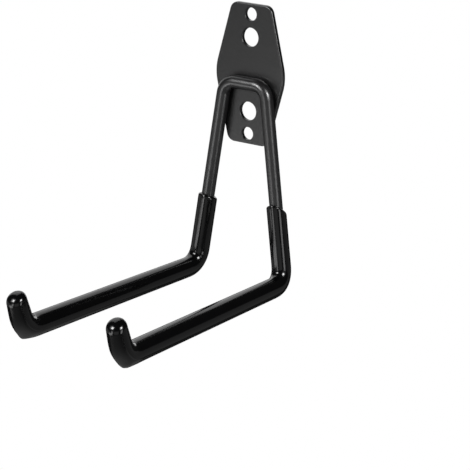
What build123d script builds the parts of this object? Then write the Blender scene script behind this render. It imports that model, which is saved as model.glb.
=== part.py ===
"""Wall holder for a racket: a flat wall plate, one bent rod welded to it and a dipped sleeve on each arm.

Millimetres and degrees, +Z up. The origin is the centre of the plate's back face, which lies on the
wall. +Y points into the wall, so the two arms reach out along -Y, and X = 0 is the plane of symmetry.
"""

import os
from math import cos, radians, sin, tan

from build123d import *

os.makedirs("parts", exist_ok=True)

# Wall plate: stamped from sheet, widest at mid height and narrower at both ends
plate_height = 85.0
plate_side_width = 50.2
plate_end_width = 28.0
plate_thickness = 2.5
plate_side_corner_r = 28.0
plate_end_corner_r = 5.5
plate_rim_r = 0.8

# Screw holes on the plate's centreline, a small and a large one at either end
small_hole_d = 8.0
small_hole_inset = 6.3
large_hole_d = 11.5
hole_step = 13.8
hole_rim_chamfer = 0.3
small_hole_spacing = plate_height - 2 * small_hole_inset
large_hole_spacing = small_hole_spacing - 2 * hole_step

# Rod: lengths run between the corner points of its centreline
rod_d = 8.0
bar_height = -4.8
bar_length = 29.3
bar_bend_r = 9.0
leg_length = 120.0
leg_splay = 8.2
foot_bend_r = 10.0
arm_length = 159.5
arm_spread = 1.2
tip_bend_r = 10.5
tip_rise = 71.5
tip_length = 21.3
rod_end_chamfer = 0.8
weld_set_down = 0.4

# Sleeve: a coat that is thickest where it ran down to the end of the arm
sleeve_start = 74.0
sleeve_leg_d = 11.8
sleeve_heel_d = 13.2
sleeve_tip_d = 11.9
sleeve_end_wall = 2.2
sleeve_end_r = 5.0
sleeve_lip_r = 1.3
sleeve_lip_tilt = 24.0
sleeve_clearance = 0.05

# Drip that set under the bend at the end of the arm
drip_d = 9.8
drip_height = 1.0
drip_turn = 25.5
drip_blend_r = 2.0

# Centreline of the right-hand half of the rod
rod_y = -(plate_thickness + rod_d / 2 - weld_set_down)
leg_way = Vector(sin(radians(leg_splay)), 0, -cos(radians(leg_splay)))
arm_way = Vector(sin(radians(arm_spread)), -cos(radians(arm_spread)), 0)
tip_way = arm_way * cos(radians(tip_rise)) + Vector(0, 0, 1) * sin(radians(tip_rise))
bar_corner = Vector(bar_length / 2, rod_y, bar_height)
foot_corner = bar_corner + leg_way * leg_length
arm_corner = foot_corner + arm_way * arm_length
rod_end = arm_corner + tip_way * tip_length
lip_centre = bar_corner + leg_way * sleeve_start
lip_reach = sleeve_leg_d / 2 * tan(radians(sleeve_lip_tilt))
sleeve_top = lip_centre - leg_way * (lip_reach + sleeve_lip_r)
sleeve_end = rod_end + tip_way * sleeve_end_wall


def mirrored(point):
    """The same point on the left-hand half."""
    return Vector(-point.X, point.Y, point.Z)


def across(line, share):
    """The plane square to a line at a share of its length."""
    return Plane(line @ share, z_dir=line % share)


# Outline of the plate, drawn on the wall plane
with BuildSketch(Plane.XZ) as plate_outline:
    with BuildLine():
        Polyline(
            (plate_end_width / 2, plate_height / 2),
            (plate_side_width / 2, 0),
            (plate_end_width / 2, -plate_height / 2),
            (-plate_end_width / 2, -plate_height / 2),
            (-plate_side_width / 2, 0),
            (-plate_end_width / 2, plate_height / 2),
            close=True,
        )
    make_face()
    side_corners = plate_outline.vertices().group_by(Axis.Y)[1]
    fillet(side_corners, plate_side_corner_r)
    corner_rows = plate_outline.vertices().group_by(Axis.Y)
    fillet(corner_rows[0] + corner_rows[-1], plate_end_corner_r)

# Wall plate, its front rim rounded over by the stamping tool and its holes broken by a chamfer
with BuildPart() as back_plate:
    extrude(plate_outline.sketch, amount=plate_thickness, dir=Plane.XZ.z_dir)
    outer_rim = back_plate.faces().sort_by(Axis.Y)[0].edges()
    fillet(outer_rim, plate_rim_r)
    with Locations(Plane.XZ.offset(plate_thickness)):
        with GridLocations(0, large_hole_spacing, 1, 2):
            Hole(large_hole_d / 2)
        with GridLocations(0, small_hole_spacing, 1, 2):
            Hole(small_hole_d / 2)
    hole_rims = back_plate.edges().filter_by(lambda edge: edge.is_closed).group_by(Axis.Y)[0]
    chamfer(hole_rims, hole_rim_chamfer)
back_plate.part.label = "back_plate"
export_step(back_plate.part, "parts/back_plate.step")

# Rod, bent from one length and set down flat on the plate where it is welded
right_points = [bar_corner, foot_corner, arm_corner, rod_end]
left_points = [mirrored(point) for point in reversed(right_points)]
right_bends = [bar_bend_r, foot_bend_r, tip_bend_r]
with BuildPart() as hook_rod:
    with BuildLine() as rod_line:
        FilletPolyline(*left_points, *right_points, radius=right_bends[::-1] + right_bends)
    with BuildSketch(across(rod_line.line, 0)):
        Circle(rod_d / 2)
    sweep()
    rod_ends = hook_rod.faces().filter_by(GeomType.PLANE)
    chamfer(rod_ends.edges(), rod_end_chamfer)
    extrude(plate_outline.sketch, amount=plate_thickness, dir=Plane.XZ.z_dir, mode=Mode.SUBTRACT)
hook_rod.part.label = "hook_rod"
export_step(hook_rod.part, "parts/hook_rod.step")

# Centreline of the right-hand sleeve, stretch by stretch, and of the bore that the rod fills
with BuildLine() as sleeve_line:
    FilletPolyline(sleeve_top, foot_corner, arm_corner, sleeve_end, radius=[foot_bend_r, tip_bend_r])
leg_run, foot_bend, arm_run, tip_bend, tip_run = sleeve_line.edges().sort_by(sleeve_line.wire())
with BuildLine() as bore_line:
    FilletPolyline(
        sleeve_top,
        foot_corner,
        arm_corner,
        rod_end + tip_way * sleeve_clearance,
        radius=[foot_bend_r, tip_bend_r],
    )

# Slanted line where the dip stopped, higher in front, and the drip on the outside of the end bend
lip_way = Vector(0, 1, 0) * sin(radians(sleeve_lip_tilt)) - leg_way * cos(radians(sleeve_lip_tilt))
lip_plane = Plane(lip_centre, z_dir=lip_way)
drip_way = (tip_bend @ (drip_turn / tip_rise) - tip_bend.arc_center).normalized()
drip_centre = tip_bend.arc_center + drip_way * (tip_bend_r + sleeve_heel_d / 2 + drip_height - drip_d / 2)

# Sleeve on the right arm: even on the leg, thicker along the arm, thinner again up the tip
with BuildPart() as right_sleeve:
    with BuildSketch(across(leg_run, 0)):
        Circle(sleeve_leg_d / 2)
    sweep(path=Wire([leg_run, foot_bend]))
    with BuildSketch(across(arm_run, 0)):
        Circle(sleeve_leg_d / 2)
    with BuildSketch(across(arm_run, 1)):
        Circle(sleeve_heel_d / 2)
    loft()
    with BuildSketch(across(tip_bend, 0)):
        Circle(sleeve_heel_d / 2)
    sweep(path=Wire([tip_bend]))
    with BuildSketch(across(tip_run, 0)):
        Circle(sleeve_heel_d / 2)
    with BuildSketch(across(tip_run, 1)):
        Circle(sleeve_tip_d / 2)
    loft()
    split(bisect_by=lip_plane, keep=Keep.BOTTOM)
    lip_face = right_sleeve.faces().sort_by_distance(lip_centre)[0]
    fillet(lip_face.edges(), sleeve_lip_r)
    end_face = right_sleeve.faces().sort_by_distance(sleeve_end)[0]
    fillet(end_face.edges(), sleeve_end_r)
    with Locations(drip_centre):
        Sphere(drip_d / 2)
    drip_face = right_sleeve.faces().filter_by(GeomType.SPHERE)[0]
    fillet(drip_face.edges().filter_by(GeomType.BSPLINE), drip_blend_r)
    with BuildSketch(across(bore_line.line, 0)):
        Circle(rod_d / 2 + sleeve_clearance)
    sweep(path=bore_line.wire(), mode=Mode.SUBTRACT)
right_sleeve.part.label = "right_sleeve"
export_step(right_sleeve.part, "parts/right_sleeve.step")

# Sleeve on the left arm, the mirror image
with BuildPart() as left_sleeve:
    mirror(right_sleeve.part, about=Plane.YZ)
left_sleeve.part.label = "left_sleeve"
export_step(left_sleeve.part, "parts/left_sleeve.step")
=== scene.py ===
from math import cos, pi, radians, sin, tan

import bpy
import numpy as np
from mathutils import Matrix, Vector


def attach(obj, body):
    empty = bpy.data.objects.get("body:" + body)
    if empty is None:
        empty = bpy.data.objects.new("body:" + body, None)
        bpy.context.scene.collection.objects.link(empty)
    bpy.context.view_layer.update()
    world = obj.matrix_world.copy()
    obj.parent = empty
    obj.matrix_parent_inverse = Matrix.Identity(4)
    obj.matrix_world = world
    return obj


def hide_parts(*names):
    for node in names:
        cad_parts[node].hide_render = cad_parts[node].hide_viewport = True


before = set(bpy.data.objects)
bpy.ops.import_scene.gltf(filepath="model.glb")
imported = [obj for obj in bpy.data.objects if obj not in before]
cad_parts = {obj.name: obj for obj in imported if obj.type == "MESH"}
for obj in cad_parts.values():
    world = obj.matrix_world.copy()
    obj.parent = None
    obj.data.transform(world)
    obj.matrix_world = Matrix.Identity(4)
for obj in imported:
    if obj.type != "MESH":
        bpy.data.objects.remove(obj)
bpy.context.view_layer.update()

scene = bpy.context.scene


# Wall plate: a flat six-sided plate stamped from 2.5 mm steel sheet, with four screw holes on its
# centreline. It is powder coated in satin black, which sets with a fine orange peel and a slightly
# uneven gloss.
class Signal:
    """A value that runs through a finish's nodes: sums on it add Math nodes, and add() any other node."""

    def __init__(self, tree, socket=None):
        self.tree = tree
        self.socket = socket

    def add(self, kind, settings, inputs, output=0):
        """Adds a node, sets it up, fills or links its inputs and gives back one of its outputs."""
        node = self.tree.nodes.new(kind)
        for name, value in settings.items():
            setattr(node, name, value)
        for name, value in inputs.items():
            if isinstance(value, Signal):
                self.tree.links.new(value.socket, node.inputs[name])
            else:
                node.inputs[name].default_value = value
        return Signal(self.tree, node.outputs[output])

    def maths(self, operation, other):
        return self.add("ShaderNodeMath", {"operation": operation}, {0: self, 1: other})

    def __add__(self, other):
        return self.maths("ADD", other)

    def __mul__(self, other):
        return self.maths("MULTIPLY", other)

    __radd__ = __add__
    __rmul__ = __mul__


def new_finish(name):
    """An empty material, the start of its nodes and its output node."""
    material = bpy.data.materials.new(name)
    material.use_nodes = True
    tree = material.node_tree
    tree.nodes.clear()
    return material, Signal(tree), tree.nodes.new("ShaderNodeOutputMaterial")


def mottle(start, place, size, detail):
    """Soft blotches of about that size in metres, from 0 to 1."""
    sockets = {"Vector": place, "Scale": 1 / size, "Detail": detail, "Roughness": 0.55}
    return start.add("ShaderNodeTexNoise", {"noise_dimensions": "3D"}, sockets, "Fac")


def between(start, share, dark, pale):
    """A colour that goes from dark to pale with the share."""
    sockets = {"Factor": share, "A": (*dark, 1), "B": (*pale, 1)}
    return start.add("ShaderNodeMix", {"data_type": "RGBA"}, sockets, "Result")


def powder_coat(name, dark, pale, least_rough, most_rough, peel_size, peel_depth):
    """Satin powder coat: orange peel as bump, and gloss and shade that wander a little."""
    cloud_size = 0.014
    speck_size = 0.0011
    cloud_share = 0.6
    material, start, output = new_finish(name)
    place = start.add("ShaderNodeTexCoord", {}, {}, "Object")
    cloud = mottle(start, place, cloud_size, detail=3)
    speck = mottle(start, place, speck_size, detail=2)
    peel = mottle(start, place, peel_size, detail=2)
    bump = start.add("ShaderNodeBump", {}, {"Strength": 0.35, "Distance": peel_depth, "Height": peel})
    coat = start.add(
        "ShaderNodeBsdfPrincipled",
        {},
        {
            "Base Color": between(start, cloud * cloud_share + speck * (1 - cloud_share), dark, pale),
            "Roughness": least_rough + (most_rough - least_rough) * (cloud * 0.5 + speck * 0.5),
            "Normal": bump,
            "Specular IOR Level": 0.9,
        },
    )
    start.tree.links.new(coat.socket, output.inputs["Surface"])
    return material


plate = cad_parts["back_plate"]
plate_coat = powder_coat(
    "plate_coat",
    dark=(0.002, 0.002, 0.0021),
    pale=(0.005, 0.005, 0.0052),
    least_rough=0.27,
    most_rough=0.31,
    peel_size=0.0016,
    peel_depth=0.00012,
)
plate.data.materials.clear()
plate.data.materials.append(plate_coat)

# Rod: one length of 8 mm round steel, bent to a bar, two legs and two arms with upturned tips, and
# resistance welded to the plate. It wears the same black powder coat, with a finer peel.
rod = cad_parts["hook_rod"]
rod_coat = powder_coat(
    "rod_coat",
    dark=(0.003, 0.003, 0.0032),
    pale=(0.006, 0.006, 0.0064),
    least_rough=0.28,
    most_rough=0.35,
    peel_size=0.0013,
    peel_depth=0.00013,
)
rod.data.materials.clear()
rod.data.materials.append(rod_coat)

# Sleeves: the lower legs and the arms are dipped in soft glossy black vinyl, which grips the rod.
# The coat ran along the arms before it set. It is thicker there, with a slanted lip where the dip
# stopped, a drip under each end bend and a domed end.
bar_corner = np.array((0.01465, -0.0061, -0.0048))
leg_length = 0.12
leg_splay = radians(8.2)
arm_length = 0.1595
arm_spread = radians(1.2)
tip_length = 0.0213
tip_rise = radians(71.5)
foot_bend = 0.01
tip_bend = 0.0105
leg_way = np.array((sin(leg_splay), 0, -cos(leg_splay)))
arm_way = np.array((sin(arm_spread), -cos(arm_spread), 0))
tip_way = arm_way * cos(tip_rise) + np.array((0, 0, sin(tip_rise)))
foot_corner = bar_corner + leg_way * leg_length
arm_corner = foot_corner + arm_way * arm_length
rod_end = arm_corner + tip_way * tip_length

bore_radius = 0.00405
bore_room = 0.00005
rod_chamfer = 0.0008
leg_radius = 0.0059
heel_radius = 0.0062
end_radius = 0.0066
tip_radius = 0.00595
lip_start = 0.074
lip_round = 0.0017
lip_reach = 0.016
end_wall = 0.0022
end_slant = 0.001
end_reach = 0.01
dome_height = 0.005
dome_power = 2.3
drip_share = 0.38
drip_length = 0.0022
drip_spread = 0.6
web_share = 0.5
web_depth = 0.0004
web_length = 0.0045

step = 0.001
run_stride = 4
foot_margin = 0.005
tip_margin = 0.008
line_ease = 3
coat_ease = 6
arc_points = 60
dome_rings = 16
lip_rings = 8
crease = radians(40)
around = 48
angles = np.arange(around) * 2 * pi / around


def corner_arc(before, corner, after, bend):
    """Points along the arc that rounds a corner of a line."""
    arrive = (corner - before) / np.linalg.norm(corner - before)
    leave = (after - corner) / np.linalg.norm(after - corner)
    turn = np.arccos(arrive @ leave)
    inward = leave - arrive * (arrive @ leave)
    inward = inward / np.linalg.norm(inward)
    first = corner - arrive * bend * tan(turn / 2)
    turned = np.linspace(0, turn, arc_points)[:, None]
    return first + bend * (inward * (1 - np.cos(turned)) + arrive * np.sin(turned))


def eased(values, reach):
    """Each value as the mean of its neighbours, fewer of them near the two ends."""
    spans = [min(reach, i, len(values) - 1 - i) for i in range(len(values))]
    return np.array([values[i - n:i + n + 1].mean(axis=0) for i, n in enumerate(spans)])


def ways_along(points):
    """The way ahead at each point and two ways across it, the first towards the inside of the bends."""
    ahead = np.gradient(points, axis=0)
    ahead = ahead / np.linalg.norm(ahead, axis=1)[:, None]
    inside = [np.array((0.0, -1.0, 0.0))]
    for way in ahead[1:]:
        turned = inside[-1] - way * (inside[-1] @ way)
        inside.append(turned / np.linalg.norm(turned))
    return list(zip(ahead, inside, np.cross(ahead, inside)))


def ring(centre, ways, radius, shift=0):
    """A ring of points round a centre, each pushed ahead by its own shift."""
    ahead, inside, beside = ways
    spokes = np.outer(np.cos(angles), inside) + np.outer(np.sin(angles), beside)
    reach = np.broadcast_to(radius, around)[:, None]
    return centre + spokes * reach + np.outer(np.broadcast_to(shift, around), ahead)


def sleeve_rings(lip_tilt, drip_height, drip_blunt):
    """The rings of one coat, from its domed end along the outside to the lip and back in the bore."""
    top = bar_corner + leg_way * (lip_start + lip_round)
    base = rod_end + tip_way * (end_wall - dome_height)
    foot_arc = corner_arc(top, foot_corner, arm_corner, foot_bend)
    tip_arc = corner_arc(foot_corner, arm_corner, base, tip_bend)
    line = np.vstack([top, foot_arc, tip_arc, base])
    lengths = np.append(0, np.cumsum(np.linalg.norm(np.diff(line, axis=0), axis=1)))
    foot_from, foot_to = lengths[1], lengths[arc_points]
    tip_from, tip_to = lengths[arc_points + 1], lengths[2 * arc_points]
    whole = lengths[-1]
    along = np.linspace(0, whole, round(whole / step) + 1)
    route = np.column_stack([np.interp(along, lengths, line[:, axis]) for axis in range(3)])
    route_ways = ways_along(route)
    middle = eased(route, line_ease)
    ways = ways_along(middle)

    # Thickness along the coat, with the drip under the end bend and a little web inside it
    stations = [0, foot_from, foot_to, tip_from, tip_to, whole]
    coat = [leg_radius, leg_radius, heel_radius, end_radius, end_radius, tip_radius]
    radii = eased(np.interp(along, stations, coat), coat_ease)
    drip_place = tip_from + drip_share * (tip_to - tip_from)
    from_drip = np.sqrt((along - drip_place) ** 2 + drip_blunt ** 2) - drip_blunt
    drip = drip_height * np.exp(-from_drip / drip_length)
    below = np.exp(-(((angles - pi) / drip_spread) ** 2))
    web_place = tip_from + web_share * (tip_to - tip_from)
    web = web_depth * np.exp(-(((along - web_place) / web_length) ** 2))
    within = np.clip(np.cos(angles), 0, 1) ** 2

    # Slants of the lip and of the domed end, which fade out along the coat
    lip_slope = tan(lip_tilt) * np.cos(angles)
    lip_fade = np.clip(1 - along / lip_reach, 0, 1) ** 2
    end_slope = end_slant / tip_radius * np.cos(angles)
    end_fade = np.clip(1 - (whole - along) / end_reach, 0, 1) ** 2

    # All rings at the lip, the bends and the tip, and fewer on the straight runs
    close = (along < lip_reach) | (along > tip_from - tip_margin)
    close = close | ((along > foot_from - foot_margin) & (along < foot_to + foot_margin))
    kept = [i for i in range(len(along)) if close[i] or i % run_stride == 0]

    rings = []
    for turn in np.linspace(pi / 2, 0, dome_rings)[1:-1]:
        radius = radii[-1] * cos(turn) ** (2 / dome_power)
        rise = dome_height * sin(turn) ** (2 / dome_power)
        rings.append(ring(middle[-1], ways[-1], radius, rise + end_slope * radius))
    for i in reversed(kept):
        radius = radii[i] + drip[i] * below + web[i] * within
        shift = (end_slope * end_fade[i] - lip_slope * lip_fade[i]) * radius
        rings.append(ring(middle[i], ways[i], radius, shift))
    for turn in np.linspace(0, pi / 2, lip_rings)[1:]:
        radius = radii[0] - lip_round * (1 - cos(turn))
        shift = -lip_round * sin(turn) - lip_slope * radius
        rings.append(ring(middle[0], ways[0], radius, shift))
    rings.append(ring(route[0], route_ways[0], bore_radius, -lip_round - lip_slope * bore_radius))
    rings += [ring(route[i], route_ways[i], bore_radius) for i in kept if along[i] > lip_reach / 2]
    bore_end = rod_end + tip_way * bore_room
    rings.append(ring(bore_end - tip_way * rod_chamfer, route_ways[-1], bore_radius))
    rings.append(ring(bore_end, route_ways[-1], bore_radius - rod_chamfer))
    dome_top = middle[-1] + ways[-1][0] * dome_height
    return np.vstack([dome_top, *rings, bore_end])


def dipped_sleeve(name, side, lip_tilt, drip_height, drip_blunt):
    """One coat as a closed mesh; side is 1 for the right arm and -1 for the left."""
    points = sleeve_rings(lip_tilt, drip_height, drip_blunt)
    points[:, 0] *= side
    last = len(points) - 1
    pairs = [(k, (k + 1) % around) for k in range(around)]
    faces = [(0, 1 + n, 1 + k) for k, n in pairs]
    for first in range(1, last - around, around):
        second = first + around
        faces += [(first + k, first + n, second + n, second + k) for k, n in pairs]
    faces += [(last, last - around + k, last - around + n) for k, n in pairs]
    if side > 0:
        faces = [face[::-1] for face in faces]
    mesh = bpy.data.meshes.new(name)
    mesh.from_pydata(points.tolist(), [], faces)
    mesh.shade_smooth()
    mesh.set_sharp_from_angle(angle=crease)
    piece = bpy.data.objects.new(name, mesh)
    scene.collection.objects.link(piece)
    return piece


def dipped_vinyl(name):
    """Glossy black vinyl: slow sag waves, a few fine ripples and a slightly uneven gloss."""
    sag_size = 0.02
    ripple_size = 0.006
    cloud_size = 0.012
    wave_depth = 0.0002
    ripple_share = 0.12
    dark = (0.0006, 0.0006, 0.0007)
    pale = (0.0016, 0.0016, 0.0018)
    least_rough = 0.11
    most_rough = 0.17
    material, start, output = new_finish(name)
    place = start.add("ShaderNodeTexCoord", {}, {}, "Object")
    sag = mottle(start, place, sag_size, detail=1)
    ripple = mottle(start, place, ripple_size, detail=0)
    cloud = mottle(start, place, cloud_size, detail=3)
    waves = {"Strength": 0.25, "Distance": wave_depth, "Height": sag + ripple * ripple_share}
    skin = start.add(
        "ShaderNodeBsdfPrincipled",
        {},
        {
            "Base Color": between(start, cloud, dark, pale),
            "Roughness": least_rough + (most_rough - least_rough) * cloud,
            "Normal": start.add("ShaderNodeBump", {}, waves),
            "Specular IOR Level": 0.5,
        },
    )
    start.tree.links.new(skin.socket, output.inputs["Surface"])
    return material


vinyl = dipped_vinyl("sleeve_vinyl")
left_sleeve = dipped_sleeve(
    "left_dipped_sleeve",
    side=-1,
    lip_tilt=radians(16),
    drip_height=0.0017,
    drip_blunt=0.0003,
)
right_sleeve = dipped_sleeve(
    "right_dipped_sleeve",
    side=1,
    lip_tilt=radians(35),
    drip_height=0.0018,
    drip_blunt=0.0009,
)
for piece, node in ((left_sleeve, "left_sleeve"), (right_sleeve, "right_sleeve")):
    piece.data.materials.append(vinyl)
    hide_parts(node)
    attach(piece, "root")

# Floor: a plain pale disc well below the holder, as a studio table is below a part that hangs on a
# wall. Under the part it is lit and shaded; further out it shows as the same white as the backdrop.
floor_height = -1.15
floor_radius = 1.6
floor_edges = 128
lit_radius = 0.25
white_share = 0.7
floor_centre = Vector((0.4, -0.55, floor_height))
under_part = Vector((0, -0.09, floor_height))
bpy.ops.mesh.primitive_circle_add(
    vertices=floor_edges,
    radius=floor_radius,
    fill_type="NGON",
    location=floor_centre,
)
floor = bpy.context.object
floor.name = "floor"
paper, start, output = new_finish("floor_paper")
place = start.add("ShaderNodeTexCoord", {}, {}, "Object")
reach = start.add(
    "ShaderNodeVectorMath",
    {"operation": "DISTANCE"},
    {0: place, 1: under_part - floor_centre},
    "Value",
)
outer = start.add(
    "ShaderNodeMapRange",
    {"interpolation_type": "SMOOTHSTEP"},
    {"Value": reach, "From Min": lit_radius, "From Max": 2 * lit_radius},
)
seen = start.add("ShaderNodeLightPath", {}, {}, "Is Camera Ray")
matt = start.add("ShaderNodeBsdfDiffuse", {}, {"Color": (0.8, 0.8, 0.8, 1)})
white = start.add("ShaderNodeEmission", {}, {"Color": (1, 1, 1, 1), "Strength": 1})
whiteness = (white_share + (1 - white_share) * outer) * seen
surface = start.add("ShaderNodeMixShader", {}, {0: whiteness, 1: matt, 2: white})
start.tree.links.new(surface.socket, output.inputs["Surface"])
floor.data.materials.append(paper)

# Studio: a white backdrop that the camera sees and the gloss does not, in a dim room. Softboxes stand high
# on both sides of the camera, each with a wider halo and a low spill. One card lights the plate from below
# and three are dim. Behind, two panels and a small lamp edge the arms and the bends.
room_strength = 0.03
backdrop_strength = 1
world = bpy.data.worlds.new("studio")
scene.world = world
world.use_nodes = True
world.node_tree.nodes.clear()
start = Signal(world.node_tree)
output = world.node_tree.nodes.new("ShaderNodeOutputWorld")
seen = start.add("ShaderNodeLightPath", {}, {}, "Is Camera Ray")
through = start.add("ShaderNodeLightPath", {}, {}, "Is Transmission Ray")
room = start.add("ShaderNodeBackground", {}, {"Color": (1, 1, 1, 1), "Strength": room_strength})
backdrop = start.add("ShaderNodeBackground", {}, {"Color": (1, 1, 1, 1), "Strength": backdrop_strength})
surface = start.add("ShaderNodeMixShader", {}, {0: seen + through, 1: room, 2: backdrop})
start.tree.links.new(surface.socket, output.inputs["Surface"])

aim = Vector((0, -0.09, -0.06))


def direction(azimuth, elevation):
    """The way from the part to a point: azimuth 0 is in front of the plate and 90 to its right."""
    turn = radians(azimuth)
    tilt = radians(elevation)
    return Vector((sin(turn) * cos(tilt), -cos(turn) * cos(tilt), sin(tilt)))


def lamp(name, azimuth, elevation, distance, width, height, radiance):
    """A soft lamp that faces the part and gives the same radiance whatever its size."""
    away = direction(azimuth, elevation)
    light = bpy.data.lights.new(name, "AREA")
    light.shape = "RECTANGLE"
    light.size = width
    light.size_y = height
    light.energy = radiance * pi * width * height
    holder = bpy.data.objects.new(name, light)
    holder.location = aim + away * distance
    holder.rotation_euler = away.to_track_quat("Z", "Y").to_euler()
    holder.visible_camera = False
    scene.collection.objects.link(holder)


lamp("left_softbox", azimuth=-20, elevation=30, distance=0.9, width=0.26, height=0.26, radiance=20)
lamp("left_halo", azimuth=-24, elevation=30, distance=0.95, width=0.6, height=0.5, radiance=2.0)
lamp("left_spill", azimuth=-12, elevation=-11, distance=0.9, width=0.26, height=0.42, radiance=2.5)
lamp("right_softbox", azimuth=73, elevation=30, distance=0.9, width=0.26, height=0.26, radiance=22)
lamp("right_halo", azimuth=75, elevation=29, distance=0.95, width=0.5, height=0.5, radiance=2.5)
lamp("right_spill", azimuth=78, elevation=-11, distance=0.9, width=0.28, height=0.5, radiance=2.9)
lamp("low_card", azimuth=-32, elevation=-29, distance=1.0, width=0.56, height=0.35, radiance=2.7)
lamp("side_card", azimuth=-64, elevation=-16, distance=1.0, width=1.3, height=0.5, radiance=0.3)
lamp("front_card", azimuth=28, elevation=-14, distance=1.0, width=0.8, height=0.6, radiance=0.4)
lamp("right_card", azimuth=126, elevation=-22, distance=1.0, width=1.1, height=0.8, radiance=0.16)
lamp("back_panel", azimuth=-134, elevation=22, distance=1.0, width=1.2, height=0.9, radiance=0.95)
lamp("high_panel", azimuth=-118, elevation=54, distance=1.0, width=0.6, height=0.5, radiance=1.2)
lamp("back_softbox", azimuth=-168, elevation=4, distance=1.0, width=0.26, height=0.3, radiance=2.0)

# Camera: stands where the photograph was taken from, up and to the right of the holder.
# Its place comes from fitting the rod and the plate to their outlines in the picture.
view_azimuth = 34.66
view_elevation = 16.83
view_roll = radians(1.63)
view_distance = 1.12429
view_centre = Vector((0.02604, -0.05, -0.08376))
away = direction(view_azimuth, view_elevation)
level = Vector((cos(radians(view_azimuth)), sin(radians(view_azimuth)), 0))
upright = away.cross(level)
right = cos(view_roll) * level + sin(view_roll) * upright
up = cos(view_roll) * upright - sin(view_roll) * level
eye = view_centre + away * view_distance
camera = bpy.data.objects.new("camera", bpy.data.cameras.new("camera"))
camera.data.sensor_width = 36
camera.data.lens = 148.16
camera.matrix_world = Matrix.Translation(eye) @ Matrix((right, up, away)).transposed().to_4x4()
scene.collection.objects.link(camera)
scene.camera = camera

scene.view_settings.view_transform = "Standard"
